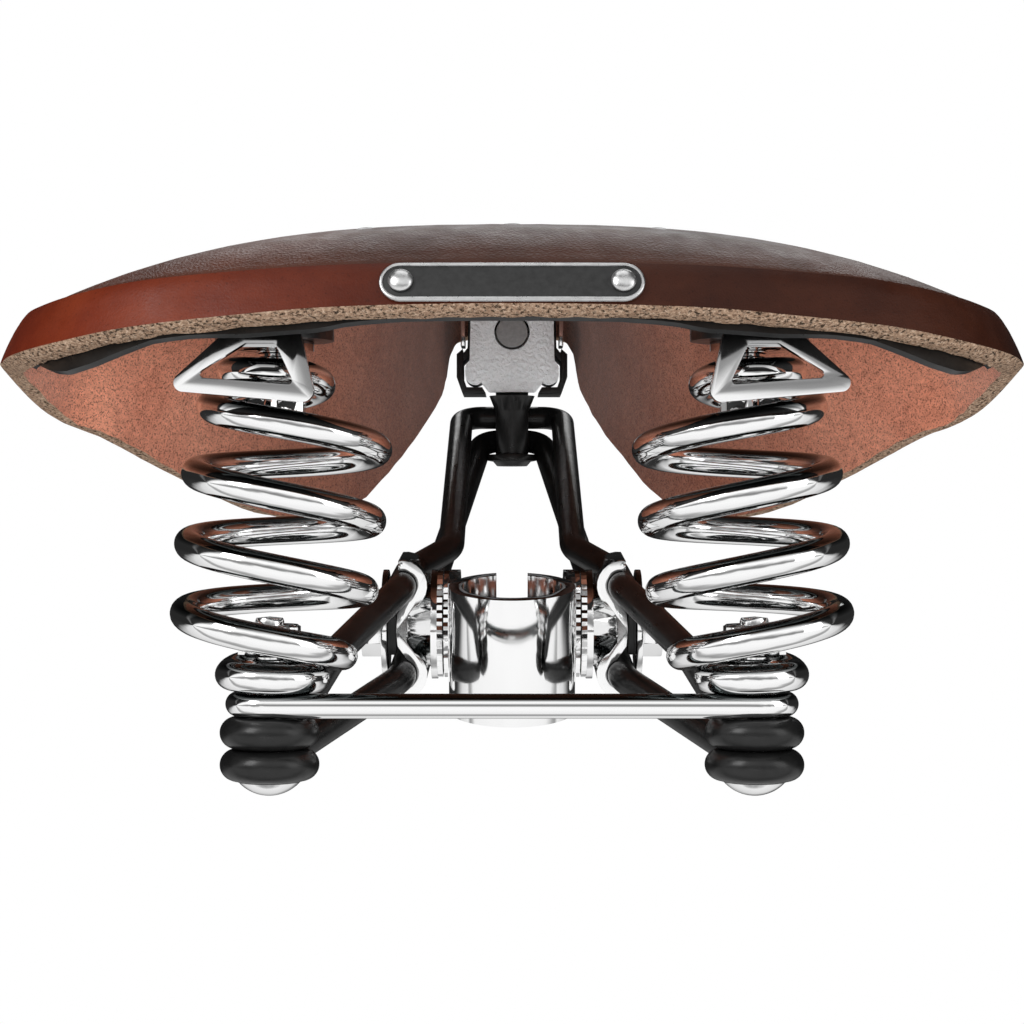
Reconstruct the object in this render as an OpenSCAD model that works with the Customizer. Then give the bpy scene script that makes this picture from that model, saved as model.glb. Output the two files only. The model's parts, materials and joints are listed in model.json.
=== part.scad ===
// Sprung leather bicycle saddle on a twin-rail undercarriage, with its seatpost clamp.
// Origin: middle of the seatpost bore in the clamp band. +X rider's right, +Y to the nose, +Z up.

/* [Leather] */
// Width across the skirt
saddle_w = 207; // [200:1:214]
// Thickness of the leather
leather_t = 4.8; // [4:0.1:5]
// How flat the top stays before it rolls over to the rim
crown_power = 2.6; // [2:0.1:3]

/* [Rails] */
// Diameter of the rail rod
rail_d = 6.4; // [6:0.1:6.6]
// Distance from the centre plane to the rails in the clamp
rail_x = 24.5; // [24.3:0.1:24.6]
// Distance between the upper and the lower rail in the clamp
rail_gap = 19.8; // [19.6:0.1:20]
// Slope of the rails in the clamp, nose up
rail_slope = 4; // [3:0.5:5]
// Diameter of the straight rod across the rear
cross_rod_d = 5; // [4.6:0.1:5]

/* [Springs] */
// Distance from the centre plane to each spring bolt
spring_x = 49; // [48.8:0.1:49.4]
// Diameter of the spring wire
wire_d = 6; // [5.6:0.1:6]
// Radius of the wide turns, to the middle of the wire
coil_r = 18; // [17:0.1:18.4]
// Diameter of the spring bolts
spring_bolt_d = 7; // [6.5:0.5:7]

/* [Seatpost clamp] */
// Diameter of the seatpost bore
post_d = 22.2; // [21.8:0.1:22.4]
// Wall of the band
band_t = 2.8; // [2.6:0.1:2.8]
// Height of the band along the post
band_h = 28; // [26:1:28]
// Lean of the post, top towards the rear
post_lean = 11; // [8:1:13]
// Diameter of the clamp bolt
clamp_bolt_d = 8; // [7.8:0.1:8]
// Length of the grooved side plates along the rails
plate_len = 24; // [20:1:24]

/* [Nose] */
// Diameter of the tension pin's end
pin_d = 8.8; // [8:0.2:9]
// Width of the silver nose cradle
cradle_w = 24; // [23.6:0.2:24]

/* [Hidden] */

// Colours
mahogany = [0.36, 0.17, 0.11];
black = [0.07, 0.07, 0.07];
chrome = [0.80, 0.80, 0.81];
silver = [0.62, 0.62, 0.62];

$fn = 48;
gap = 0.2;                       // clearance between pieces that do not touch
bore_play = 0.05;                // radial running clearance of the clamp bolt

// Places of the spring bolts and heights of what they hold, from the bottom up
spring_y = -41;
lower_eye_z = -21;
upper_eye_z = lower_eye_z + rail_d + 0.1;
cross_z = upper_eye_z + (rail_d + cross_rod_d)/2 + 0.1;
coil_low_z = cross_z + (cross_rod_d + wire_d)/2 + 0.1;
coil_high_z = 58.6;
bracket_z = 64.5;                // underside of the brackets that hold the springs
eye_r = spring_bolt_d/2 + rail_d/2 + 0.15;
cross_eye_r = spring_bolt_d/2 + cross_rod_d/2 + 0.4;

// Clamp bolt, just ahead of the band
bolt_y = 18.2;
bolt_z = 4.5;
ear_x = 14.1;                    // outer face of the band's ears
tooth_h = 1.2;
tooth_count = 40;
disc_r = 12.4;
plate_t = 2.2;
groove_r = rail_d/2 + gap;

// Front crossbars and the shackle round them
bar_y = 154;
upper_bar_z = 57;
lower_bar_z = 50.3;
neck_y = 143;
pivot_y = 149.5;
pivot_z = 72;
pin_z = 80.7;
cradle_rear = 142;
cradle_base = 63.8;

// ---------- The leather's control lines, right half, rear centre to nose ----------
// Top line that each section starts from
ridge = [[0,-50,86.2], [0,-47,86.4], [0,-44,86.6], [0,-40,86.8], [0,-36,87], [0,-31,87.2],
  [0,-25,87.4], [0,-18,87.7], [0,-6,88], [0,6,88.3], [0,20,88.4], [0,42,88.6], [0,66,89.8],
  [0,95,92.6], [0,124,96.4], [0,144,99.2], [0,150,99.9], [0,151,100]];
// Rim, where the top rolls over into the band and the skirt
rim = [[0,-87,75.9], [31,-86,75.6], [50,-84.5,74.7], [69,-80.8,73.3], [82.5,-74,71.4],
  [91.5,-63.5,70], [96.5,-51,69.6], [97.5,-37,70], [92,-18,71.4], [80,-3,73], [64,13,75],
  [47,38,78.5], [35.5,63,83], [27.5,93,88.5], [22.5,128,93.6], [18.5,156,96.6],
  [11,167,97.4], [0,170,97.5]];
// Hem, the outer corner of the cut edge
hem = [[0,-91,67.7], [31,-90,67.2], [50.5,-88.5,65.8], [70.5,-84.5,63.9], [85.5,-77,61.6],
  [95,-66,60.3], [100.3,-53,59.6], [103.5,-37,58.8], [99,-16,51], [89,-5,46], [76,14,38],
  [60,37,30], [44,60,31], [31.5,91,46], [24,130,61.5], [21.5,158,75.5], [13,169.5,80.5],
  [0,172.5,81.5]];
STEPS = 2;                       // sections for each control point
TOP_STEPS = 6;
ROLL_STEPS = 3;
SKIRT_STEPS = 4;

// ---------- Vectors, splines and sweeps ----------
function unit(v) = v/norm(v);
function flip(p) = [-p[0], p[1], p[2]];
// Catmull-Rom curve through p at t points along it; both ends meet their mirror image
function spline(p, t) = let(n = len(p) - 1, i = min(floor(t), n - 1), f = t - i,
    a = i == 0 ? flip(p[1]) : p[i - 1], b = p[i], c = p[i + 1],
    d = i == n - 1 ? flip(p[n - 1]) : p[i + 2])
  b + 0.5*f*((c - a) + f*((2*a - 5*b + 4*c - d) + f*(3*(b - c) + d - a)));
// Arc of radius r in place of the corner at b
function corner(a, b, c, r, n) = let(u = unit(a - b), v = unit(c - b), h = acos(u*v)/2,
    q = b + u*r/tan(h), m = b + unit(u + v)*r/sin(h), e = q - m, w = -u*r)
  [for (k = [0:n]) m + e*cos(k*(180 - 2*h)/n) + w*sin(k*(180 - 2*h)/n)];
// Open path whose inner points [x, y, z, r] are rounded
function point(p) = [p[0], p[1], p[2]];
function rounded(p, n = 5) = [point(p[0]),
  for (i = [1:len(p) - 2]) each corner(point(p[i - 1]), point(p[i]), point(p[i + 1]), p[i][3], n),
  point(p[len(p) - 1])];
// Direction of the path at each point, and side vectors carried along it without twist
function heading(p, i) = unit(p[min(i + 1, len(p) - 1)] - p[max(i - 1, 0)]);
function sides(p, i = 0, s = []) = i == len(p) ? s : let(d = heading(p, i),
    last = i == 0 ? (abs(d[2]) > 0.9 ? [1, 0, 0] : [0, 0, 1]) : s[i - 1])
  sides(p, i + 1, concat(s, [unit(last - d*(last*d))]));
module tube(path, d, n = 16) {
  r = d/2;
  side = sides(path);
  m = len(path);
  points = [for (i = [0:m - 1]) let(w = cross(heading(path, i), side[i]))
    for (k = [0:n - 1]) path[i] + r*(side[i]*cos(360*k/n) + w*sin(360*k/n))];
  walls = [for (i = [0:m - 2], k = [0:n - 1]) let(a = i*n + k, b = i*n + (k + 1)%n)
    each [[a, a + n, b + n], [a, b + n, b]]];
  polyhedron(points, concat(walls, [[for (k = [0:n - 1]) k]],
    [[for (k = [n - 1:-1:0]) (m - 1)*n + k]]), convexity = 8);
}
module both() { children(); mirror([1, 0, 0]) children(); }
module rod_x(x0, x1, r) { translate([x0, 0, 0]) rotate([0, 90, 0]) cylinder(h = x1 - x0, r = r); }
module hex(across, h) { cylinder(h = h, d = across/cos(30), $fn = 6); }
// Clamp parts are drawn round the clamp bolt, along the rails
module at_bolt(slope = 0) { translate([0, bolt_y, bolt_z]) rotate([slope, 0, 0]) children(); }

// ---------- Leather skin ----------
HALF = (len(rim) - 1)*STEPS;
ACROSS = TOP_STEPS + ROLL_STEPS + SKIRT_STEPS;
function sized(p) = [p[0]*saddle_w/207, p[1], p[2]];
function skirt_bulge(t) = 2.2*min(1, max(0, t - 6)/3);
// One section from the ridge over the rim to the hem
function section(t) = let(s = spline(ridge, t), c = sized(spline(rim, t)), h = sized(spline(hem, t)),
    u = t/(len(rim) - 1), roll = 3.6 + 4.4*u*u, r1 = 1 - roll/norm([c[0] - s[0], c[1] - s[1]]),
    w1 = min(0.45, roll/norm(h - c)), out = unit([c[0], c[1] - s[1], 0]))
  let(top = function(r) [s[0] + (c[0] - s[0])*r, s[1] + (c[1] - s[1])*r,
        c[2] + (s[2] - c[2])*(1 - pow(r, crown_power))],
      side = function(w) c + (h - c)*w + out*skirt_bulge(t)*4*w*(1 - w),
      a = top(r1), b = side(w1))
  [for (k = [0:TOP_STEPS - 1]) top(r1*k/TOP_STEPS),
   for (k = [0:ROLL_STEPS - 1]) let(q = k/ROLL_STEPS) a*(1 - q)*(1 - q) + c*2*q*(1 - q) + b*q*q,
   for (k = [0:SKIRT_STEPS]) side(w1 + (1 - w1)*k/SKIRT_STEPS)];
half_skin = [for (i = [0:HALF]) section(i/STEPS)];
function skin(i, j) = i < 0 ? flip(half_skin[-i][j]) :
  i > HALF ? flip(half_skin[2*HALF - i][j]) : half_skin[i][j];
function skin_normal(i, j) = let(k = max(j, 1),
    n = unit(cross(skin(i, min(k + 1, ACROSS)) - skin(i, k - 1), skin(i + 1, k) - skin(i - 1, k))))
  j > 0 ? n : unit([0, n[1], n[2]]);
// Outward at the rear centre means towards -Y, which fixes the sign
turn = skin_normal(0, ACROSS)[1] < 0 ? 1 : -1;
function layer(i, j, depth) = skin(i, j) - turn*depth*skin_normal(i, j);

module leather_top() {
  n = 2*HALF;
  m = ACROSS + 1;
  function at(i, j) = let(k = i%n) (j == 0 && k > HALF ? n - k : k)*m + j;
  shell = [for (depth = [0, leather_t], i = [0:n - 1], j = [0:ACROSS]) layer(i, j, depth)];
  inner = n*m;
  outside = [for (i = [0:n - 1], j = [0:ACROSS - 1])
    each [[at(i, j), at(i + 1, j), at(i + 1, j + 1)], [at(i, j), at(i + 1, j + 1), at(i, j + 1)]]];
  inside = [for (f = outside) [f[0] + inner, f[2] + inner, f[1] + inner]];
  edge = [for (i = [0:n - 1]) let(a = at(i, ACROSS), b = at(i + 1, ACROSS))
    each [[a, b, b + inner], [a, b + inner, a + inner]]];
  color(mahogany) polyhedron(shell, concat(outside, inside, edge), convexity = 10);
}
// Sheet that follows the leather between two depths, i across and j down the section
module backing(i0, i1, j0, j1, near, far) {
  m = j1 - j0 + 1;
  n = i1 - i0 + 1;
  points = [for (depth = [near, far], i = [i0:i1], j = [j0:j1]) layer(i, j, depth)];
  function at(i, j) = i*m + j;
  top = [for (i = [0:n - 2], j = [0:m - 2])
    each [[at(i, j), at(i + 1, j), at(i + 1, j + 1)], [at(i, j), at(i + 1, j + 1), at(i, j + 1)]]];
  low = [for (f = top) [f[0] + n*m, f[2] + n*m, f[1] + n*m]];
  rim_loop = concat([for (i = [0:n - 1]) at(i, 0)], [for (j = [1:m - 1]) at(n - 1, j)],
    [for (i = [n - 2:-1:0]) at(i, m - 1)], [for (j = [m - 2:-1:1]) at(0, j)]);
  k = len(rim_loop);
  wall = [for (q = [0:k - 1]) let(a = rim_loop[q], b = rim_loop[(q + 1)%k])
    each [[a, b + n*m, b], [a, a + n*m, b + n*m]]];
  polyhedron(points, concat(top, low, wall), convexity = 10);
}
module cantle_plate() {
  color(black) backing(-6*STEPS, 6*STEPS, 2, ACROSS - 2, leather_t + gap, leather_t + 2 + gap);
}
// Pressed foot under the cantle plate that a spring bolts to
module spring_bracket() {
  color(black) difference() {
    union() {
      translate([0, 0, bracket_z]) cylinder(h = 2.5, r = 12);
      hull() {
        translate([-7, -10.4, bracket_z + 1.5]) cube([14, 2.6, 1]);
        translate([-8, -11.4, bracket_z + 7.5]) cube([16, 2.6, 1.5]);
      }
      hull() {
        translate([-7, 7.8, bracket_z + 1.5]) cube([14, 2.6, 1]);
        translate([-8, 9.4, bracket_z + 9]) cube([16, 2.6, 3]);
      }
    }
    translate([0, 0, bracket_z - 1]) cylinder(h = 5, d = spring_bolt_d + 0.4);
  }
}
module spring_bracket_right() { translate([spring_x - 1, spring_y, 0]) spring_bracket(); }
module spring_bracket_left() { mirror([1, 0, 0]) spring_bracket_right(); }

// Flat strap bent into a trapezium, hung from a tab under the bracket
loop_outer = [[55.2, 65.9], [41.5, 65.9], [38.6, 53.2], [40, 51.4], [66, 53.6], [66.8, 55.4]];
loop_inner = [[52, 63], [46.2, 63], [42.4, 54.8], [62.6, 56.4]];
module bag_loop_right() {
  color(chrome) {
    translate([0, -54.2, 0]) rotate([90, 0, 0]) linear_extrude(3.2)
      difference() {
        offset(r = 1.8) offset(delta = -1.8) polygon(loop_outer);
        offset(r = 0.8) offset(delta = -0.8) polygon(loop_inner);
      }
    difference() {
      union() {
        translate([42.5, -54.3, bracket_z - 2.1]) cube([11, 13.3, 2]);
        translate([spring_x - 1, spring_y, bracket_z - 2.1]) cylinder(h = 2, r = 8);
      }
      translate([spring_x - 1, spring_y, 50]) cylinder(h = 20, d = spring_bolt_d + 0.4);
    }
  }
}
module bag_loop_left() { mirror([1, 0, 0]) bag_loop_right(); }
module upper_bolt() {
  translate([spring_x - 1, spring_y, 0]) {
    translate([0, 0, 46]) cylinder(h = 22, d = spring_bolt_d);
    translate([0, 0, bracket_z + 2.6]) hex(13, 4.6);
  }
}
module upper_bolts() { color(chrome) both() upper_bolt(); }
module upper_nuts() {
  color(chrome) both() translate([spring_x - 1, spring_y, coil_high_z - wire_d/2 - 8.9])
    difference() { hex(12, 6.4); translate([0, 0, -1]) cylinder(h = 9, d = spring_bolt_d + 0.2); }
}

// ---------- Rivets and nameplate ----------
// Domed head on the leather at station i, row j
module rivet_at(i, j, r, h) {
  p = layer(i, j, 0.2);
  v = turn*skin_normal(i, j);
  translate(p) rotate([0, acos(v[2]), atan2(v[1], v[0])])
    intersection() { cylinder(h = h, r = r); translate([0, 0, h - 1.6*r]) sphere(1.6*r); }
}
module rear_rivets() {
  color(chrome) for (p = [[0, 2], [5, 3], [10, 4]], s = p[0] == 0 ? [1] : [-1, 1])
    rivet_at(s*p[0], p[1], 4.2, 0.35);
}
module nose_rivets() { color(chrome) for (i = [HALF - 1, HALF + 1]) rivet_at(i, ACROSS - 2, 3.4, 1.1); }
plate_w = 48.3;
plate_h = 7.9;
band_lean = 26;
// Frame of the rear band, with Z out of the leather
module on_band() { translate([0, -89.3, 71.45]) rotate([90 - band_lean, 0, 0]) children(); }
module nameplate() {
  color(silver) on_band() difference() {
    linear_extrude(0.9) {
      square([plate_w - plate_h, plate_h], center = true);
      for (s = [-1, 1]) translate([s*(plate_w - plate_h)/2, 0]) circle(d = plate_h);
    }
    for (s = [-1, 1]) translate([s*(plate_w - plate_h)/2, 0, -1]) cylinder(h = 3, d = 2.6);
  }
}
module nameplate_rivets() {
  color(silver) on_band() for (s = [-1, 1]) translate([s*(plate_w - plate_h)/2, 0, 0]) {
    cylinder(h = 1, d = 2.4);
    translate([0, 0, 1]) intersection() {
      cylinder(h = 1.2, d = 4.6);
      translate([0, 0, -2.4]) sphere(3.4);
    }
  }
}

// ---------- Nose ----------
// Pressed bracket: low channels carry the cradle's lobes, and webs above them reach the leather
channel = [[7.4, 63.5], [14, 63.5], [15.6, 68], [15.6, 74.5], [13.9, 76], [13.9, 68.4], [12.8, 65.2],
  [8.4, 65.2]];
web = [[14.6, 74], [12.6, 76.5], [12.2, 90], [10.2, 90], [10.8, 75.5], [14.6, 71.5]];
module nose_bracket() {
  color(black) {
    both() translate([0, 166, 0]) rotate([90, 0, 0]) {
      linear_extrude(24) polygon(channel);
      translate([0, 0, 5]) linear_extrude(15.6) polygon(web);
    }
    translate([-12, 142, 89.4]) cube([24, 18.6, 2]);
    difference() {
      translate([-10.6, 160, 72]) cube([21.2, 2.2, 18]);
      translate([0, 159, pin_z]) rotate([-90, 0, 0]) cylinder(h = 5, d = 6.5);
    }
  }
}
module nose_strips() {
  color(chrome) both() translate([13.3, 143, 76.9]) cube([1.2, 12, 9]);
}
module tension_cradle() {
  color(silver) difference() {
    union() {
      hull() for (x = [-1, 1], p = [[6, cradle_base + 1], [cradle_w/2 - 1, 71], [cradle_w/2 - 1.4, 87.8]])
        translate([x*p[0], cradle_rear, p[1]]) rotate([-90, 0, 0]) cylinder(h = 3, r = 1, $fn = 32);
      both() translate([0, cradle_rear, 0]) {
        translate([7, 0, cradle_base + 5]) cube([2.2, 12, 19.8]);
        hull() for (z = [68.6, 70.3]) translate([10.4, 0, z]) rotate([-90, 0, 0])
          cylinder(h = 13, r = 2.8, $fn = 32);
      }
    }
    translate([-6.9, cradle_rear + 3, 60]) cube([13.8, 20, 30]);
    translate([0, cradle_rear - 1, pin_z]) rotate([-90, 0, 0]) cylinder(h = 6, d = pin_d + 1.2);
    translate([0, pivot_y, pivot_z]) rod_x(-14, 14, 2.45);
  }
}
module pivot_pin() { color(chrome) translate([0, pivot_y, pivot_z]) rod_x(-9.2, 9.2, 2.4); }
// Pin along the saddle that pushes the nose forward; its end shows in the cradle
module tension_pin() {
  color(silver) translate([0, cradle_rear - 0.8, pin_z]) rotate([-90, 0, 0]) {
    cylinder(h = 5, d = pin_d);
    cylinder(h = 23.5, d = 6);
  }
}
module tension_nut() {
  color(silver) translate([0, 0, pin_z]) rotate([-90, 0, 0]) difference() {
    translate([0, 0, 153.5]) hex(10, 6);
    translate([0, 0, 150]) cylinder(h = 12, r = 3.05);
  }
}
module front_shackle() {
  color(black) difference() {
    union() {
      translate([0, neck_y, 46.3]) cylinder(h = 12, r = 4.6);
      translate([0, neck_y, 58.2]) cylinder(h = 4.5, r1 = 4.6, r2 = 6.4);
      translate([-4.6, neck_y, 47]) cube([9.2, 16.5, 15.6]);
      translate([0, pivot_y, pivot_z]) rod_x(-6.4, 6.4, 4.2);
      translate([-4.6, pivot_y - 3.5, 62]) cube([9.2, 7, 10]);
    }
    translate([-8, bar_y - rail_d/2 - 0.1, 40]) cube([16, rail_d + 0.2, upper_bar_z - 40]);
    translate([0, bar_y, upper_bar_z]) rod_x(-8, 8, rail_d/2 + 0.1);
    translate([0, pivot_y, pivot_z]) rod_x(-8, 8, 2.45);
    translate([0, neck_y, 40]) cylinder(h = 14, r = 2.05);
  }
}
module shackle_keeper() {
  color(black) difference() {
    hull() {
      translate([0, neck_y, 44.4]) cylinder(h = 1.8, r = 6.9);
      translate([-5, 158, 44.4]) cube([10, 1.5, 1.8]);
    }
    translate([0, neck_y, 40]) cylinder(h = 14, r = 2.1);
  }
}
module shackle_screw() {
  color(black) translate([0, neck_y, 0]) {
    translate([0, 0, 43.4]) cylinder(h = 10, r = 2);
    translate([0, 0, 42.9]) cylinder(h = 1.4, r1 = 4.2, r2 = 5.4);
  }
}

// ---------- Undercarriage ----------
function groove_z(y, up) = bolt_z + up*rail_gap/2 + (y - bolt_y)*tan(rail_slope);
// Rod's end wrapped round a spring bolt; the rod comes in ahead of the bolt and turns round its outer side
function wrap_start(from, r) = let(dx = from[0] - spring_x, dy = from[1] - spring_y)
  atan2(dy, dx) - acos(r/norm([dx, dy]));
function around(r, z, a) = [spring_x + r*cos(a), spring_y + r*sin(a), z];
function eye(r, z, a0, a1, n = 18) = [for (k = [0:n]) around(r, z, a0 + (a1 - a0)*k/n)];
function half_rail(front, bend, up, via, eye_z) =
  let(ahead = [rail_x, front[3], groove_z(front[3], up), 12],
      behind = [rail_x, 0, groove_z(0, up), 12],
      rear = concat([behind], via), from = rear[len(rear) - 1], a0 = wrap_start(from, eye_r),
      t = around(eye_r, eye_z, a0), back = unit([from[0] - t[0], from[1] - t[1], 0]),
      near = concat(t + 10*back, [10]))
  concat(rounded(concat([[0, front[1], front[2]], [front[0], front[1], front[2], 6]], bend,
    [ahead], rear, [near, t])), [for (k = [1:18]) around(eye_r, eye_z, a0 - 265*k/18)]);
function whole(half) = concat([for (k = [len(half) - 1:-1:1]) flip(half[k])],
  [for (k = [1:len(half) - 1]) half[k]]);
module upper_rail() {
  color(black) tube(whole(half_rail([14.4, bar_y, upper_bar_z, 39], [[14.8, 53, 21.3, 12]], 1,
    [[37.5, -21.5, 0, 14]], upper_eye_z)), rail_d);
}
module lower_rail() {
  color(black) tube(whole(half_rail([8.5, bar_y, lower_bar_z, 42], [], -1, [], lower_eye_z)), rail_d);
}
module cross_rod() {
  half = concat([[0, spring_y - cross_eye_r, cross_z]], eye(cross_eye_r, cross_z, -90, 200));
  color(chrome) tube(whole(half), cross_rod_d);
}
// Right spring: [turn, radius, height, inward shift of the middle, tilt]
spring_knots = [[0.85, 8.6, coil_low_z - 0.9, 0.6, 0], [1.5, 8.6, coil_low_z + 0.4, 0.6, 0],
  [2, 14.6, 1.6, 0.2, 0.04], [2.5, 17.6, 8.6, 0.6, 0.08], [3.5, coil_r, 22.6, 1.9, 0.08],
  [4.5, coil_r, 36.8, 3.3, 0.08], [5, coil_r, 43.8, 3.8, 0.06], [5.5, 13.8, 51.2, 2, 0.02],
  [6.1, 8.6, 57.2, 0.9, 0], [6.7, 8.4, coil_high_z + 0.2, 0.9, 0]];
function knot(t, k = 0) = k >= len(spring_knots) - 2 || spring_knots[k + 1][0] >= t ?
  let(a = spring_knots[k], b = spring_knots[k + 1], f = (t - a[0])/(b[0] - a[0]), e = f*f*(3 - 2*f))
    concat([a[1] + (b[1] - a[1])*e, a[2] + (b[2] - a[2])*f], [for (q = [3, 4]) a[q] + (b[q] - a[q])*f])
  : knot(t, k + 1);
SPRING_STEPS = 22;
module spring_right() {
  turns = [for (k = [0:round(5.85*SPRING_STEPS)]) 0.85 + k/SPRING_STEPS];
  path = [for (t = turns) let(s = knot(t), c = s[0]*cos(360*t), d = s[0]*sin(360*t))
    [spring_x - s[2] - c, spring_y - d, s[1] - s[3]*c]];
  color(chrome) tube(path, wire_d, 12);
}
module spring_left() { mirror([1, 0, 0]) spring_right(); }
module lower_bolts() {
  color(chrome) both() translate([spring_x, spring_y, 0]) {
    top = coil_low_z + wire_d/2 + 9;
    base = lower_eye_z - rail_d/2 - 1;
    translate([0, 0, base]) cylinder(h = top - base, d = spring_bolt_d);
    translate([0, 0, lower_eye_z - rail_d/2 - 0.1]) intersection() {
      translate([0, 0, -3]) cylinder(h = 3, r = 6.5);
      translate([0, 0, 5.4]) sphere(8.4);
    }
  }
}
module lower_nuts() {
  color(chrome) both() translate([spring_x, spring_y, coil_low_z + wire_d/2 + 1]) difference() {
    hex(12, 6.4);
    translate([0, 0, -1]) cylinder(h = 9, d = spring_bolt_d + 0.2);
  }
}

// ---------- Seatpost clamp ----------
post_r = post_d/2;
band_r = post_r + band_t;
// The strap's end: a disc at the bolt, and the flat that joins it to the ring
module ear() {
  at_bolt() {
    translate([ear_x - 2.4, 0, 0]) rotate([90, 0, 90]) linear_extrude(2.4) difference() {
      union() {
        circle(r = disc_r);
        polygon([[-bolt_y, -11.9], [2, -11.9], [2, 11.9], [-7.2, 11.9], [-bolt_y, 9.76]]);
      }
      circle(r = clamp_bolt_d/2 + bore_play);
    }
    teeth(ear_x - 0.4, tooth_h + 0.4);
  }
}
// Ring of radial serrations on a face at x
module teeth(x, h) {
  outline = [for (k = [0:2*tooth_count - 1]) let(a = 180*k/tooth_count, r = disc_r - 0.3 - (k%2)*0.7)
    [r*cos(a), r*sin(a)]];
  translate([x, 0, 0]) rotate([90, 0, 90]) linear_extrude(h) difference() {
    polygon(outline);
    circle(r = disc_r - 4);
  }
}
module post_band() {
  color(chrome) difference() {
    union() {
      rotate([post_lean, 0, 0]) translate([0, 0, -band_h/2]) cylinder(h = band_h, r = band_r);
      both() ear();
    }
    rotate([post_lean, 0, 0]) {
      translate([0, 0, -band_h]) cylinder(h = 2*band_h, r = post_r);
      translate([-3.5, 0, -band_h]) cube([7, 30, 2*band_h]);
    }
  }
}
// Side plate: a sheet with two grooves that the rails lie in, and a dished boss at the bolt
sheet_r = groove_r + plate_t/2;
sheet_mid = [for (a = [80:15:245]) [rail_x + sheet_r*cos(a), rail_gap/2 + sheet_r*sin(a)]];
sheet_line = concat(sheet_mid, [[rail_x, 3.2], [rail_x + 0.2, 0], [rail_x, -3.2]],
  [for (k = [len(sheet_mid) - 1:-1:0]) [sheet_mid[k][0], -sheet_mid[k][1]]]);
function beside(p, i, d) = let(v = unit(p[min(i + 1, len(p) - 1)] - p[max(i - 1, 0)]))
  p[i] + d*[-v[1], v[0]];
module sheet() {
  n = len(sheet_line) - 1;
  polygon(concat([for (i = [0:n]) beside(sheet_line, i, plate_t/2)],
    [for (i = [n:-1:0]) beside(sheet_line, i, -plate_t/2)]));
}
module side_plate_right() {
  tooth_x = ear_x + 2*tooth_h + 0.3;
  color(chrome) at_bolt(rail_slope) difference() {
    union() {
      translate([0, plate_len/2, 0]) rotate([90, 0, 0]) linear_extrude(plate_len) sheet();
      teeth(tooth_x - tooth_h, tooth_h + 0.4);
      rod_x(tooth_x, tooth_x + 1.4, disc_r);
      translate([tooth_x + 1.4, 0, 0]) rotate([0, 90, 0])
        cylinder(h = rail_x - tooth_x - 1.4, r1 = disc_r - 2.5, r2 = 5.2);
    }
    rod_x(0, 40, clamp_bolt_d/2 + 0.1);
    for (s = [-1, 1]) translate([rail_x, 0, s*rail_gap/2]) rotate([90, 0, 0])
      cylinder(h = plate_len + 2, r = groove_r, center = true);
  }
}
module side_plate_left() { mirror([1, 0, 0]) side_plate_right(); }
// Cheek between the rails, outside the side plate
module cheek_right() {
  x0 = rail_x + plate_t/2 + 0.35;
  color(black) at_bolt(rail_slope) difference() {
    translate([x0, -10, -5.8]) cube([rail_x + rail_d/2 + 0.1 - x0, 20, 11.6]);
    rod_x(0, 40, clamp_bolt_d/2 + 0.1);
    for (s = [-1, 1]) translate([rail_x, 0, s*rail_gap/2]) rotate([90, 0, 0])
      cylinder(h = 30, r = groove_r, center = true);
  }
}
module cheek_left() { mirror([1, 0, 0]) cheek_right(); }
washer_x = rail_x + rail_d/2 + 0.25;
module clamp_washers() {
  color(chrome) at_bolt(rail_slope) both() difference() {
    rod_x(washer_x, washer_x + 1.3, disc_r);
    rod_x(0, 40, clamp_bolt_d/2 + 0.1);
  }
}
nut_x = washer_x + 1.4;
module clamp_bolt() {
  color(chrome) at_bolt(rail_slope) {
    rod_x(-nut_x - 1, nut_x + 5.4, clamp_bolt_d/2);
    translate([-nut_x, 0, 0]) rotate([0, -90, 0]) hex(13, 4.8);
  }
}
module clamp_nut() {
  color(chrome) at_bolt(rail_slope) difference() {
    translate([nut_x, 0, 0]) rotate([0, 90, 0]) hex(13, 4.8);
    rod_x(0, 50, clamp_bolt_d/2 + 0.02);
  }
}

leather_top();
cantle_plate();
spring_bracket_left();
spring_bracket_right();
bag_loop_left();
bag_loop_right();
upper_bolts();
upper_nuts();
rear_rivets();
nose_rivets();
nameplate();
nameplate_rivets();
nose_bracket();
nose_strips();
tension_cradle();
tension_pin();
tension_nut();
pivot_pin();
front_shackle();
shackle_keeper();
shackle_screw();
upper_rail();
lower_rail();
cross_rod();
spring_left();
spring_right();
lower_bolts();
lower_nuts();
post_band();
side_plate_left();
side_plate_right();
cheek_left();
cheek_right();
clamp_washers();
clamp_bolt();
clamp_nut();
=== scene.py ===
import json
import math

import bmesh
import bpy
import numpy as np
from mathutils import Matrix, Vector

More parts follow.
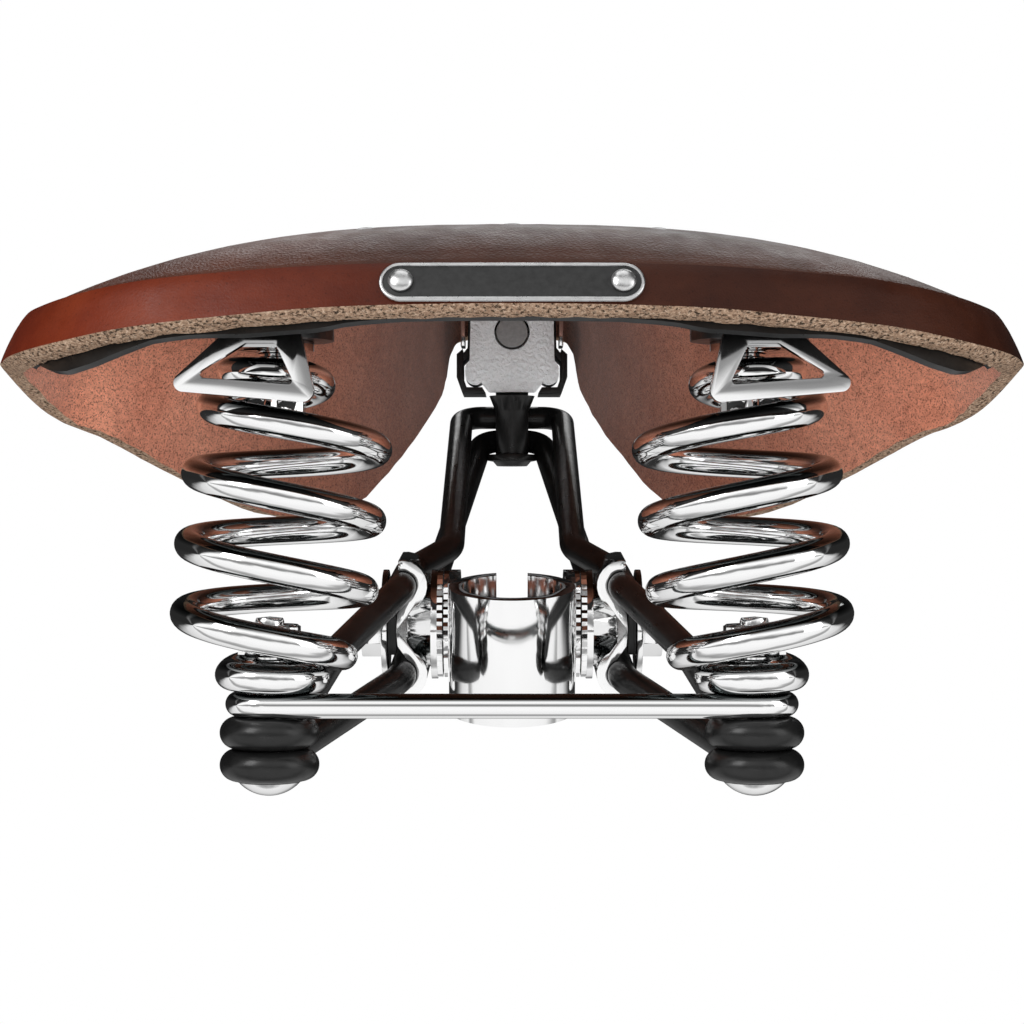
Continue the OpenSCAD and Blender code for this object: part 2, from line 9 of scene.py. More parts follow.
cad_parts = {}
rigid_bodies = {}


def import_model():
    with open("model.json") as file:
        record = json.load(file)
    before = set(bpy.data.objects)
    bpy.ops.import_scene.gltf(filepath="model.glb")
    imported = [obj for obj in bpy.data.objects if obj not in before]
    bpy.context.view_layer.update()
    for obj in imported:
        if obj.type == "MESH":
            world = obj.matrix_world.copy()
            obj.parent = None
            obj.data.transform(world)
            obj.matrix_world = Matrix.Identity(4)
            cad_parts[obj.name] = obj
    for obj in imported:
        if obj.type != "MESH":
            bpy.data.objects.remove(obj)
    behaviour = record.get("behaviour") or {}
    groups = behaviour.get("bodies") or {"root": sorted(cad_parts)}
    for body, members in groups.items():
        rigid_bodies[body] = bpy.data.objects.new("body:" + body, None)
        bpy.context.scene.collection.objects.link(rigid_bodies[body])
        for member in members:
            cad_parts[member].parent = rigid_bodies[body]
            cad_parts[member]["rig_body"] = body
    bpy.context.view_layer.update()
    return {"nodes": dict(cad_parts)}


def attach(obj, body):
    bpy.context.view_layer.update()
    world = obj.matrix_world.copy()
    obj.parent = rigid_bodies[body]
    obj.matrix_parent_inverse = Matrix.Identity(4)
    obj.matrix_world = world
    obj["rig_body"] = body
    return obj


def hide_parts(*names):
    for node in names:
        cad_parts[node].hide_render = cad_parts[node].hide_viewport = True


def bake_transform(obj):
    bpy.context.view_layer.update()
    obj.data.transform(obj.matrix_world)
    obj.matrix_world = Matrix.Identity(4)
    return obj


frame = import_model()
MM = 0.001
CHROME, BLACK, SILVER, STEEL = "chrome", "black_enamel", "cast_silver", "satin_steel"


# ---------- Nodes and materials ----------
class Shader:
    """A material's node tree, with short calls for the nodes that the finishes below share."""

    def __init__(self, name):
        self.mat = bpy.data.materials.new(name)
        self.mat.use_nodes = True
        self.tree = self.mat.node_tree
        self.bsdf = self.tree.nodes["Principled BSDF"]
        self.place = self.add("ShaderNodeTexCoord").outputs["Object"]

    def add(self, kind, **settings):
        node = self.tree.nodes.new(kind)
        for key, value in settings.items():
            setattr(node, key, value)
        return node

    def link(self, a, b):
        self.tree.links.new(a, b)

    def set(self, **values):
        names = {"coat": "Coat Weight", "coat_rough": "Coat Roughness", "specular": "Specular IOR Level",
                 "sheen": "Sheen Weight", "sheen_rough": "Sheen Roughness"}
        for key, value in values.items():
            self.bsdf.inputs[names.get(key, key.capitalize())].default_value = value
        return self

    def noise(self, scale, detail=4.0, rough=0.6, stretch=None):
        node = self.add("ShaderNodeTexNoise")
        node.inputs["Scale"].default_value = scale
        node.inputs["Detail"].default_value = detail
        node.inputs["Roughness"].default_value = rough
        source = self.place
        if stretch:
            mapping = self.add("ShaderNodeMapping")
            mapping.inputs["Scale"].default_value = stretch
            self.link(self.place, mapping.inputs["Vector"])
            source = mapping.outputs[0]
        self.link(source, node.inputs["Vector"])
        return node.outputs["Fac"]

    def cells(self, scale):
        node = self.add("ShaderNodeTexVoronoi", feature="F1")
        node.inputs["Scale"].default_value = scale
        self.link(self.place, node.inputs["Vector"])
        return node.outputs["Distance"]

    def along(self, axis, start, end):
        """0 up to start on one of the object's axes, in metres, and 1 from end on."""
        split, spread = self.add("ShaderNodeSeparateXYZ"), self.add("ShaderNodeMapRange")
        spread.interpolation_type = "SMOOTHSTEP"
        spread.inputs["From Min"].default_value, spread.inputs["From Max"].default_value = start, end
        self.link(self.place, split.inputs[0])
        self.link(split.outputs[axis], spread.inputs["Value"])
        return spread.outputs[0]

    def shade_across(self):
        """0 on the left side of the saddle and 1 on the right: the mask of the painted light and shade
        across the leather.
        """
        return self.along("X", -0.10, 0.02)

    def ramp(self, source, *stops):
        """Colour or grey by source; each stop is (position, colour)."""
        node = self.add("ShaderNodeValToRGB")
        ramp = node.color_ramp
        while len(ramp.elements) < len(stops):
            ramp.elements.new(0.5)
        for element, (position, colour) in zip(ramp.elements, stops):
            element.position = position
            grey = (colour, colour, colour) if isinstance(colour, (int, float)) else colour
            element.color = (*grey, 1)
        self.link(source, node.inputs["Fac"])
        return node.outputs["Color"]

    def mix(self, a, b, fac, blend="MIX"):
        node = self.add("ShaderNodeMix", data_type="RGBA", blend_type=blend)
        for value, socket in ((fac, node.inputs[0]), (a, node.inputs[6]), (b, node.inputs[7])):
            if isinstance(value, bpy.types.NodeSocket):
                self.link(value, socket)
            else:
                socket.default_value = value if isinstance(value, (int, float)) else (*value, 1)
        return node.outputs[2]

    def color(self, socket):
        self.link(socket, self.bsdf.inputs["Base Color"])
        return self

    def rough(self, socket):
        self.link(socket, self.bsdf.inputs["Roughness"])
        return self

    def bump(self, *layers):
        """Each layer is (height, strength, distance in metres), one on top of the other."""
        normal = None
        for height, strength, distance in layers:
            node = self.add("ShaderNodeBump")
            node.inputs["Strength"].default_value = strength
            node.inputs["Distance"].default_value = distance
            self.link(height, node.inputs["Height"])
            if normal:
                self.link(normal, node.inputs["Normal"])
            normal = node.outputs["Normal"]
        self.link(normal, self.bsdf.inputs["Normal"])
        return self


def leather_grain():
    s = Shader("leather_grain").set(specular=0.16)
    # Painted light and shade: redder and lighter to the rider's left, where the key light falls, nearly
    # black-brown to the right
    blotch = s.noise(22, 5, 0.62)
    lit_left = s.ramp(blotch, (0.3, (0.085, 0.011, 0.004)), (0.5, (0.135, 0.018, 0.0065)),
                 (0.72, (0.20, 0.034, 0.012)))
    dark = s.ramp(blotch, (0.3, (0.018, 0.005, 0.003)), (0.5, (0.034, 0.0095, 0.0048)),
                  (0.72, (0.058, 0.0165, 0.008)))
    tone = s.mix(lit_left, dark, s.shade_across())
    streak = s.noise(70, 6, 0.7, (0.5, 1, 1.4))
    worn = s.mix(tone, s.ramp(streak, (0.35, (0.55, 0.46, 0.42)), (0.65, (1, 1, 1))), 0.5, "MULTIPLY")
    pores = s.ramp(s.noise(1900, 3, 0.6), (0.30, 0.45), (0.40, 1.0))
    s.color(s.mix(worn, pores, 0.6, "MULTIPLY"))
    s.rough(s.ramp(s.noise(160, 5), (0.3, 0.30), (0.7, 0.50)))
    return s.bump((s.cells(2300), 0.25, 0.00012), (s.noise(900, 6, 0.7), 0.30, 0.00010),
                  (s.noise(60, 4), 0.18, 0.0006)).mat


def panel_grain():
    s = Shader("leather_panel").set(specular=0.26)
    blotch = s.noise(26, 5, 0.62)
    # Painted light and shade, as on the band: redder and lighter to the rider's left, darker to the right
    lit_left = s.ramp(blotch, (0.3, (0.060, 0.017, 0.009)), (0.7, (0.125, 0.036, 0.018)))
    dark = s.ramp(blotch, (0.3, (0.030, 0.011, 0.0065)), (0.7, (0.068, 0.023, 0.013)))
    tone = s.mix(lit_left, dark, s.shade_across())
    s.color(s.mix(tone, s.ramp(s.noise(300, 6, 0.75), (0.3, 0.55), (0.7, 1.0)), 0.5, "MULTIPLY"))
    s.rough(s.ramp(s.noise(180, 5), (0.3, 0.40), (0.7, 0.56)))
    return s.bump((s.cells(1700), 0.45, 0.00022), (s.noise(700, 6, 0.75), 0.40, 0.00016),
                  (s.noise(48, 4), 0.20, 0.0007)).mat


def flesh_side():
    s = Shader("leather_flesh").set(specular=0.12, sheen=0.25, sheen_rough=0.5, roughness=0.94)
    tone = s.ramp(s.noise(55, 6, 0.7), (0.3, (0.70, 0.260, 0.158)), (0.7, (0.95, 0.415, 0.268)))
    fleck = s.ramp(s.noise(2400, 3, 0.7), (0.38, 0.12), (0.48, 1.0))
    fibre = s.ramp(s.noise(800, 6, 0.75, (1, 0.5, 1)), (0.3, 0.62), (0.7, 1.15))
    rough = s.mix(s.mix(tone, fleck, 0.8, "MULTIPLY"), fibre, 0.9, "MULTIPLY")
    # Painted shade: darker towards the nose, deeper under the saddle
    nose_shade = s.ramp(s.along("Y", -0.02, 0.09), (0.0, 1.0), (1.0, 0.45))
    s.color(s.mix(rough, nose_shade, 1.0, "MULTIPLY"))
    return s.bump((s.noise(1300, 6, 0.8), 0.6, 0.0004), (s.noise(160, 4), 0.25, 0.0008)).mat


def cut_edge():
    s = Shader("leather_edge").set(specular=0.10, roughness=0.96)
    tone = s.ramp(s.noise(1500, 6, 0.8), (0.32, (0.16, 0.095, 0.062)), (0.5, (0.42, 0.275, 0.185)),
                  (0.68, (0.80, 0.62, 0.47)))
    pores = s.ramp(s.noise(1300, 4, 0.7, (1, 1, 1.3)), (0.40, 0.03), (0.48, 1.0))
    s.color(s.mix(tone, pores, 0.9, "MULTIPLY"))
    return s.bump((s.noise(1300, 6, 0.8), 0.9, 0.0006), (pores, 0.5, 0.0004)).mat


def chrome(name="chrome_plate", shade_heights=None):
    """Bright plating with painted shade: its colour goes almost black on what faces up, which lies in the
    shade of the leather, and near white on what faces sideways and down.

    With its last argument, a pair of heights in metres, it also paints shade, darkening from the first
    height up to the second."""
    s = Shader(name).set(metallic=1.0)
    up = s.add("ShaderNodeSeparateXYZ")
    s.link(s.add("ShaderNodeNewGeometry").outputs["Normal"], up.inputs[0])
    # Painted shade: the colour darkens as the face turns up
    tone = s.ramp(up.outputs["Z"], (0.36, (0.95, 0.95, 0.95)), (0.54, (0.28, 0.29, 0.29)),
                  (0.70, (0.03, 0.035, 0.035)))
    if shade_heights:
        # Painted shade: darker from the first height up to the second
        height = s.ramp(s.along("Z", *shade_heights), (0.0, 1.0), (1.0, 0.03))
        tone = s.mix(tone, height, 1.0, "MULTIPLY")
    s.color(tone)
    s.rough(s.ramp(s.noise(120, 4), (0.3, 0.05), (0.7, 0.11)))
    return s.bump((s.noise(300, 3), 0.012, 0.0002)).mat


def enamel():
    s = Shader("black_enamel_gloss").set(specular=0.30, coat=0.15, coat_rough=0.16)
    s.color(s.ramp(s.noise(200, 4), (0.3, 0.005), (0.7, 0.011)))
    s.rough(s.ramp(s.noise(420, 5), (0.3, 0.26), (0.7, 0.40)))
    return s.bump((s.noise(700, 4), 0.06, 0.0002)).mat


def cast_silver():
    s = Shader("cast_silver_pebble").set(metallic=0.15, specular=0.7)
    s.color(s.ramp(s.noise(600, 4), (0.3, (0.86, 0.91, 0.93)), (0.7, (0.95, 0.98, 1.0))))
    s.rough(s.ramp(s.noise(900, 4), (0.3, 0.36), (0.7, 0.52)))
    return s.bump((s.noise(950, 2, 0.5), 0.9, 0.0007), (s.noise(2200, 4), 0.3, 0.0002)).mat


def satin_steel():
    s = Shader("satin_steel_turned").set(metallic=1.0)
    s.color(s.ramp(s.noise(500, 4), (0.3, 0.60), (0.7, 0.74)))
    s.rough(s.ramp(s.noise(900, 4), (0.3, 0.24), (0.7, 0.36)))
    return s.bump((s.noise(1600, 3), 0.12, 0.0001)).mat


def dull(name, specular, dark, light, grain, depth):
    s = Shader(name).set(specular=specular)
    s.color(s.ramp(s.noise(900, 4), (0.3, dark), (0.7, light)))
    s.rough(s.ramp(s.noise(900, 4), (0.3, 0.42), (0.7, 0.55)))
    return s.bump((s.noise(grain, 3), depth, 0.0001)).mat


LOOP_SHADE = (0.0592, 0.0665)      # painted shade: the bag loops' legs go dark between these heights
MATS = {CHROME: chrome(), BLACK: enamel(), SILVER: cast_silver(), STEEL: satin_steel(),
        "loop": chrome("chrome_loop_shaded", LOOP_SHADE), "pin": dull("pin_end_dull", 0.4, 0.23, 0.31, 1600, 0.12),
        "field": dull("plate_field_black", 0.45, 0.008, 0.018, 2500, 0.2), "grain": leather_grain(),
        "panel": panel_grain(), "flesh": flesh_side(), "edge": cut_edge()}


# ---------- Making pieces ----------
def make(name, points, faces, body, slot, *mats, which=None, sharp):
    """One smooth-shaded piece with hard edges above the sharp angle; which gives each face its material."""
    mesh = bpy.data.meshes.new(name)
    mesh.from_pydata([tuple(p) for p in points], [], [tuple(f) for f in faces])
    for key in mats:
        mesh.materials.append(MATS[key])
    if which is not None:
        mesh.polygons.foreach_set("material_index", which)
    obj = bpy.data.objects.new(name, mesh)
    bpy.context.scene.collection.objects.link(obj)
    bm = bmesh.new()
    bm.from_mesh(mesh)
    bmesh.ops.recalc_face_normals(bm, faces=bm.faces)
    shade(bm, mesh, sharp)
    if body:
        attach(obj, body)
    return obj


def hard(edge, degrees):
    return len(edge.link_faces) == 2 and edge.calc_face_angle(0) > math.radians(degrees)


def shade(bm, mesh, degrees):
    """Writes bm to the mesh, smooth but for the edges that are sharper than degrees, and frees it."""
    for edge in bm.edges:
        edge.smooth = not hard(edge, degrees)
    for face in bm.faces:
        face.smooth = True
    bm.to_mesh(mesh)
    bm.free()


BEVEL_ANGLE, SHADE_ANGLE = 32, 40
WELD = 2e-6


def refined(node, slot, bevel, mat=None):
    """A copy of a CAD node with its hard edges rounded by bevel mm, which stands for the node."""
    source = frame["nodes"][node]
    mesh = source.data.copy()
    mesh.materials.clear()
    mesh.materials.append(MATS[mat or slot])
    obj = bpy.data.objects.new(node + "_finished", mesh)
    bpy.context.scene.collection.objects.link(obj)
    bm = bmesh.new()
    bm.from_mesh(mesh)
    bmesh.ops.remove_doubles(bm, verts=bm.verts, dist=WELD)
    bmesh.ops.dissolve_limit(bm, angle_limit=math.radians(1), verts=bm.verts, edges=bm.edges)
    bmesh.ops.recalc_face_normals(bm, faces=bm.faces)
    if bevel:
        edges = [edge for edge in bm.edges if hard(edge, BEVEL_ANGLE)]
        bmesh.ops.bevel(bm, geom=edges, offset=bevel*MM, segments=2, profile=0.7, affect="EDGES",
                        clamp_overlap=True)
    shade(bm, mesh, SHADE_ANGLE)
    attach(obj, source["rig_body"])
    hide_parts(node)
    return obj


def tube(path, diameter, sides):
    """Points and faces of a closed tube along a path of numpy points, in metres."""
    path = np.array(path)
    heading = np.gradient(path, axis=0)
    heading /= np.linalg.norm(heading, axis=1)[:, None]
    side = np.array([0, 0, 1.0]) if abs(heading[0][2]) < 0.9 else np.array([1.0, 0, 0])
    angles = np.arange(sides)*2*math.pi/sides
    points = []
    for p, d in zip(path, heading):
        side = side - d*(side @ d)
        side /= np.linalg.norm(side)
        up = np.cross(d, side)
        points += [p + diameter/2*(side*math.cos(a) + up*math.sin(a)) for a in angles]
    faces = rings(0, len(path) - 1, sides)
    faces.append(tuple(range(sides))[::-1])
    faces.append(tuple(range((len(path) - 1)*sides, len(path)*sides)))
    return points, faces


def turned(profile, centre, steps=48):
    """Points and faces of a closed shape turned about Z: profile is (radius, height) from end to end."""
    points, faces = [], []
    n = len(profile)
    for k in range(steps):
        a = 2*math.pi*k/steps
        for r, h in profile:
            points.append(Vector(centre) + Vector((r*math.cos(a), r*math.sin(a), h)))
    for k in range(steps):
        for i in range(n - 1):
            faces.append((k*n + i, ((k + 1) % steps)*n + i, ((k + 1) % steps)*n + i + 1, k*n + i + 1))
    for i, order in ((0, -1), (n - 1, 1)):
        faces.append(tuple(k*n + i for k in range(steps))[::order])
    return points, faces


def rings(start, end, n):
    """Faces between rings of n points each, from ring start to ring end."""
    return [(j*n + k, j*n + (k + 1) % n, (j + 1)*n + (k + 1) % n, (j + 1)*n + k)
            for j in range(start, end) for k in range(n)]


def joined(*parts):
    points, faces = [], []
    for p, f in parts:
        start = len(points)
        points += list(p)
        faces += [tuple(v + start for v in face) for face in f]
    return points, faces


def mirrored(part):
    points, faces = part
    return [Vector((-p[0], p[1], p[2])) for p in points], [tuple(f)[::-1] for f in faces]


# ---------- Leather: the same control lines as the CAD, in millimetres, with the finer detail ----------
RIDGE = [(0, -50, 86.2), (0, -47, 86.4), (0, -44, 86.6), (0, -40, 86.8), (0, -36, 87), (0, -31, 87.2),
         (0, -25, 87.4), (0, -18, 87.7), (0, -6, 88), (0, 6, 88.3), (0, 20, 88.4), (0, 42, 88.6),
         (0, 66, 89.8), (0, 95, 92.6), (0, 124, 96.4), (0, 144, 99.2), (0, 150, 99.9), (0, 151, 100)]
RIM = [(0, -87, 75.9), (31, -86, 75.6), (50, -84.5, 74.7), (69, -80.8, 73.3), (82.5, -74, 71.4),
       (91.5, -63.5, 70), (96.5, -51, 69.6), (97.5, -37, 70), (92, -18, 71.4), (80, -3, 73),
       (64, 13, 75), (47, 38, 78.5), (35.5, 63, 83), (27.5, 93, 88.5), (22.5, 128, 93.6),
       (18.5, 156, 96.6), (11, 167, 97.4), (0, 170, 97.5)]
HEM = [(0, -91, 67.7), (31, -90, 67.2), (50.5, -88.5, 65.8), (70.5, -84.5, 63.9), (85.5, -77, 61.6),
       (95, -66, 60.3), (100.3, -53, 59.6), (103.5, -37, 58.8), (99, -16, 51), (89, -5, 46),
       (76, 14, 38), (60, 37, 30), (44, 60, 31), (31.5, 91, 46), (24, 130, 61.5),
       (21.5, 158, 75.5), (13, 169.5, 80.5), (0, 172.5, 81.5)]
THICK = 4.8
STEP_H = 0.9                      # how far the top panel sits below the carved band
CARVED_TO, CARVED_FADE = 0.42, 0.3      # the step is whole this far from rear to nose, then fades out
STEP_AT, STEP_W = 0.40, 0.10      # where on the roll the step rises to the band
PRESSED_AT, PRESSED_W, PRESSED = 0.36, 0.06, 0.12       # the pressed line at its foot, as a share of it
SINK_POWER = 5                    # how late the top panel sinks, from the ridge to the roll
ROLL_REAR, ROLL_MORE = 3.6, 4.4   # the roll at the rear, and what the nose's has more
ROLL_SHARE = 0.45                 # the most of the side's height that the roll takes up
CROWN_POWER = 2.6                 # how flat the top stays before it rolls over to the rim
BULGE = 2.2
TOP_N, ROLL_N, SKIRT_N = 30, 20, 26
CROWDING = 1.25                   # above 1, the top's points crowd towards the roll
STATIONS = 8                      # sections for each control point


def flip(p):
    return np.array((-p[0], p[1], p[2]), float)


def spline(points, t):
    n = len(points) - 1
    i = min(int(t), n - 1)
    f = t - i
    b, c = np.array(points[i], float), np.array(points[i + 1], float)
    a = flip(points[1]) if i == 0 else np.array(points[i - 1], float)
    d = flip(points[n - 1]) if i == n - 1 else np.array(points[i + 2], float)
    return b + 0.5*f*((c - a) + f*((2*a - 5*b + 4*c - d) + f*(3*(b - c) + d - a)))


def ease(x):
    x = min(1.0, max(0.0, x))
    return x*x*(3 - 2*x)


def section(t):
    """One section of the skin from ridge to hem, and how far each point is set in for the carved step."""
    s, c, h = spline(RIDGE, t), spline(RIM, t), spline(HEM, t)
    u = t/(len(RIM) - 1)
    roll = ROLL_REAR + ROLL_MORE*u*u
    r1 = 1 - roll/math.hypot(c[0] - s[0], c[1] - s[1])
    w1 = min(ROLL_SHARE, roll/np.linalg.norm(h - c))
    out = np.array((c[0], c[1] - s[1], 0))
    out /= np.linalg.norm(out)
    bulge = BULGE*min(1, max(0, t - 6)/3)
    carved = STEP_H*(1 - ease((u - CARVED_TO)/CARVED_FADE))

    def top(r):
        x, y = s[:2] + (c[:2] - s[:2])*r
        return np.array((x, y, c[2] + (s[2] - c[2])*(1 - r**CROWN_POWER)))

    def side(w):
        return c + (h - c)*w + out*bulge*4*w*(1 - w)

    a, b = top(r1), side(w1)
    points, inset = [], []
    for k in range(TOP_N):
        r = 1 - (1 - k/TOP_N)**CROWDING
        points.append(top(r1*r))
        inset.append(carved*r**SINK_POWER)
    for k in range(ROLL_N):
        q = k/ROLL_N
        points.append(a*(1 - q)**2 + c*2*q*(1 - q) + b*q*q)
        pressed = PRESSED*carved*math.exp(-((q - PRESSED_AT)/PRESSED_W)**2)
        inset.append(carved*(1 - ease((q - STEP_AT)/STEP_W)) + pressed)
    for k in range(SKIRT_N + 1):
        points.append(side(w1 + (1 - w1)*k/SKIRT_N))
        inset.append(0.0)
    return points, inset


HALF = (len(RIM) - 1)*STATIONS
ROWS = TOP_N + ROLL_N + SKIRT_N + 1
sections = [section(i/STATIONS) for i in range(HALF + 1)]
half_skin = np.array([p for p, _ in sections])
half_inset = np.array([q for _, q in sections])
mirror_back = half_skin[1:-1][::-1]*np.array((-1, 1, 1))
SKIN = np.concatenate([half_skin, mirror_back])*MM
INSET = np.concatenate([half_inset, half_inset[1:-1][::-1]])*MM
RING = len(SKIN)


def skin_normals(skin):
    across = np.roll(skin, -1, 0) - np.roll(skin, 1, 0)
    down = np.gradient(skin, axis=1)
    n = np.cross(down, across)
    n[:, 0] = n[:, 1]*np.array((0, 1, 1))
    n /= np.linalg.norm(n, axis=2)[:, :, None]
    return n if n[0, -1, 1] < 0 else -n


NORMALS = skin_normals(SKIN)
# Normals spread over their neighbours, so that the flesh side keeps clear of itself at the step
SOFT, SPREADS = NORMALS.copy(), 6
for _ in range(SPREADS):
    SOFT[:, 1:-1] = (SOFT[:, :-2] + SOFT[:, 1:-1] + SOFT[:, 2:])/3
    SOFT /= np.linalg.norm(SOFT, axis=2)[:, :, None]


GRAIN, PANEL, EDGE, FLESH = range(4)
CREASE_AT = 0.44                  # where on the roll the panel's finish ends
WORN, WORN_WAVES, WORN_SHIFT = 0.10, (310, 270), 1.3    # shallow hollows worn in the top
FLESH_ROUGH = 0.10
EDGE_ROWS, EDGE_DOME, FUZZ = 7, 0.45, 0.22
FRAY, FRAY_BIAS = 0.5, 0.35       # of the cut edge's inner corner


def leather():
    rng = np.random.default_rng(7)
    outer = SKIN - NORMALS*INSET[:, :, None]
    waves = np.sin(SKIN[:, :, 0]*WORN_WAVES[0] + WORN_SHIFT), np.sin(SKIN[:, :, 1]*WORN_WAVES[1])
    worn = WORN*MM*waves[0]*waves[1]
    worn[:, TOP_N:] = 0
    outer = outer - SOFT*np.abs(worn)[:, :, None]
    inner = SKIN - SOFT*(THICK*MM - (rng.random(SKIN.shape[:2]) - 0.5)[:, :, None]*FLESH_ROUGH*MM)
    hem_out, hem_in = outer[:, -1], inner[:, -1]
    down = hem_out - outer[:, -2]
    down /= np.linalg.norm(down, axis=1)[:, None]
    # Cut edge: slightly domed, with a fibrous surface and a fuzzy inner corner
    edge = []
    for k in range(1, EDGE_ROWS):
        f = k/EDGE_ROWS
        fuzz = (rng.random(RING) - 0.5)[:, None]*FUZZ*MM
        edge.append(hem_out + (hem_in - hem_out)*f + down*(EDGE_DOME*MM*math.sin(math.pi*f) + fuzz))
    fray = (rng.random(RING) - FRAY_BIAS)[:, None]*FRAY*MM
    inner[:, -1] += down*fray
    rows = [outer[:, j] for j in range(1, ROWS)] + edge + [inner[:, j] for j in range(ROWS - 1, 0, -1)]
    points = [p for row in rows for p in row]
    count = len(rows)
    faces, which = [], []
    crease = TOP_N + int(ROLL_N*CREASE_AT)
    for j in range(count - 1):
        for i in range(RING):
            k = (i + 1) % RING
            faces.append((j*RING + i, j*RING + k, (j + 1)*RING + k, (j + 1)*RING + i))
            which.append(PANEL if j + 1 < crease else GRAIN if j + 1 < ROWS - 1
                         else EDGE if j + 1 < ROWS - 1 + EDGE_ROWS else FLESH)
    # The ridge line closes both skins: its points are shared by the left and the right half
    for grid, ring_row, flipped in ((outer, 0, True), (inner, count - 1, False)):
        start = len(points)
        points += [grid[i, 0] for i in range(HALF + 1)]
        for i in range(RING):
            k = (i + 1) % RING
            a = start + (i if i <= HALF else RING - i)
            b = start + (k if k <= HALF else RING - k)
            quad = (ring_row*RING + i, ring_row*RING + k, b, a)
            faces.append(quad[::-1] if flipped else quad)
            which.append(PANEL if flipped else FLESH)
    return make("leather_saddle_top", points, faces, "seat_top", "leather", "grain", "panel", "edge",
                "flesh", which=which, sharp=50)


# How far the cantle plate reaches past its last row, by distance from the middle: its lip shows below the
# leather's cut edge in the wings and where the bag loops hang
LIP = ((0, 20, 30, 36, 50, 54, 60, 68, 74, 80, 86, 90, 94, 97),
       (0, 0, 0.6, 1.7, 1.5, 1.1, 0.6, 0.7, 2.0, 3.3, 3.7, 2.6, 0.8, -1))
LIP_POWER = 6                     # how close to its last row the plate bends out to the lip
PLATE_DEPTHS = (THICK + 0.25, THICK + 1.8)
PLATE_REACH = 6                   # control points that it goes round each side
PLATE_FROM = 0.33                 # where it starts, as a share of the way from the ridge to the roll


def cantle_plate():
    """Closed sheet that follows the leather's flesh side round the rear of the saddle."""
    ids = [i % RING for i in range(-PLATE_REACH*STATIONS, PLATE_REACH*STATIONS + 1)]
    first, last = int(TOP_N*PLATE_FROM), ROWS - 2
    n, m = len(ids), last - first + 1
    points = []
    for depth in PLATE_DEPTHS:
        for i in ids:
            below = np.interp(abs(SKIN[i, -1, 0])/MM, *LIP)
            down = SKIN[i, -1] - SKIN[i, -2]
            down /= np.linalg.norm(down)
            for q in range(m):
                j = first + q
                lip = down*below*MM*(q/(m - 1))**LIP_POWER
                points.append(SKIN[i, j] - SOFT[i, j]*depth*MM + lip)
    faces = []
    for order in range(n - 1):
        for q in range(m - 1):
            a, b = order*m + q, (order + 1)*m + q
            faces.append((a, b, b + 1, a + 1))
            faces.append((a + n*m, a + 1 + n*m, b + 1 + n*m, b + n*m))
    loop = [i*m for i in range(n)] + [(n - 1)*m + j for j in range(1, m)]
    loop += [i*m + m - 1 for i in range(n - 2, -1, -1)] + list(range(m - 2, 0, -1))
    for a, b in zip(loop, loop[1:] + loop[:1]):
        faces.append((b, a, a + n*m, b + n*m))
    return make("cantle_plate_pressed", points, faces, "seat_top", BLACK, BLACK, sharp=50)


leather_top = leather()
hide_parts("leather_top")
backing = cantle_plate()
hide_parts("cantle_plate")


# ---------- Undercarriage: the CAD's own centre lines, swept finely ----------
RAIL_D, RAIL_X, RAIL_GAP, SLOPE = 6.4, 24.5, 19.8, math.tan(math.radians(4))
CROSS_D, WIRE_D, BOLT_D = 5.0, 6.0, 7.0
SPRING_X, SPRING_Y = 49.0, -41.0
BOLT_Y, BOLT_Z = 18.2, 4.5
LOWER_EYE_Z = -21.0
UPPER_EYE_Z = LOWER_EYE_Z + RAIL_D + 0.1
CROSS_Z = UPPER_EYE_Z + (RAIL_D + CROSS_D)/2 + 0.1
COIL_LOW_Z = CROSS_Z + (CROSS_D + WIRE_D)/2 + 0.1
COIL_HIGH_Z, BRACKET_Z = 58.6, 64.5
EYE_R = BOLT_D/2 + RAIL_D/2 + 0.15
CROSS_EYE_R = BOLT_D/2 + CROSS_D/2 + 0.4
BAR_Y = 154.0
EYE_TURN, CROSS_TURN, EYE_STEPS = math.radians(265), 290, 60
GROOVE_BEND, BAR_BEND, EYE_BEND = 12, 6, 10     # bend radii of the rails
EYE_LEAD = 10                     # a rail's last corner lies this far before its eye


def unit(v):
    return v/np.linalg.norm(v)


BEND_STEPS = 18


def rounded(path):
    """Open path whose inner points (x, y, z, radius) are rounded."""
    p = [np.array(q[:3], float) for q in path]
    out = [p[0]]
    for i in range(1, len(p) - 1):
        u, v, r = unit(p[i - 1] - p[i]), unit(p[i + 1] - p[i]), path[i][3]
        h = math.acos(max(-1, min(1, float(u @ v))))/2
        q, m = p[i] + u*r/math.tan(h), p[i] + unit(u + v)*r/math.sin(h)
        for k in range(BEND_STEPS + 1):
            a = k*(math.pi - 2*h)/BEND_STEPS
            out.append(m + (q - m)*math.cos(a) - u*r*math.sin(a))
    return out + [p[-1]]


def evened(path, step):
    """The same path with straight stretches divided, so that rings are evenly spaced."""
    out = [np.array(path[0], float)]
    for p in path[1:]:
        a, b = out[-1], np.array(p, float)
        n = max(1, int(np.linalg.norm(b - a)/step))
        out += [a + (b - a)*k/n for k in range(1, n + 1)]
    return np.array(out)


def around(r, z, a):
    return (SPRING_X + r*math.cos(a), SPRING_Y + r*math.sin(a), z)


def groove_z(y, up):
    return BOLT_Z + up*RAIL_GAP/2 + (y - BOLT_Y)*SLOPE


def whole(half):
    """Both halves of a rod, left end to right end."""
    return [(-p[0], p[1], p[2]) for p in half[:0:-1]] + [tuple(p) for p in half[1:]]


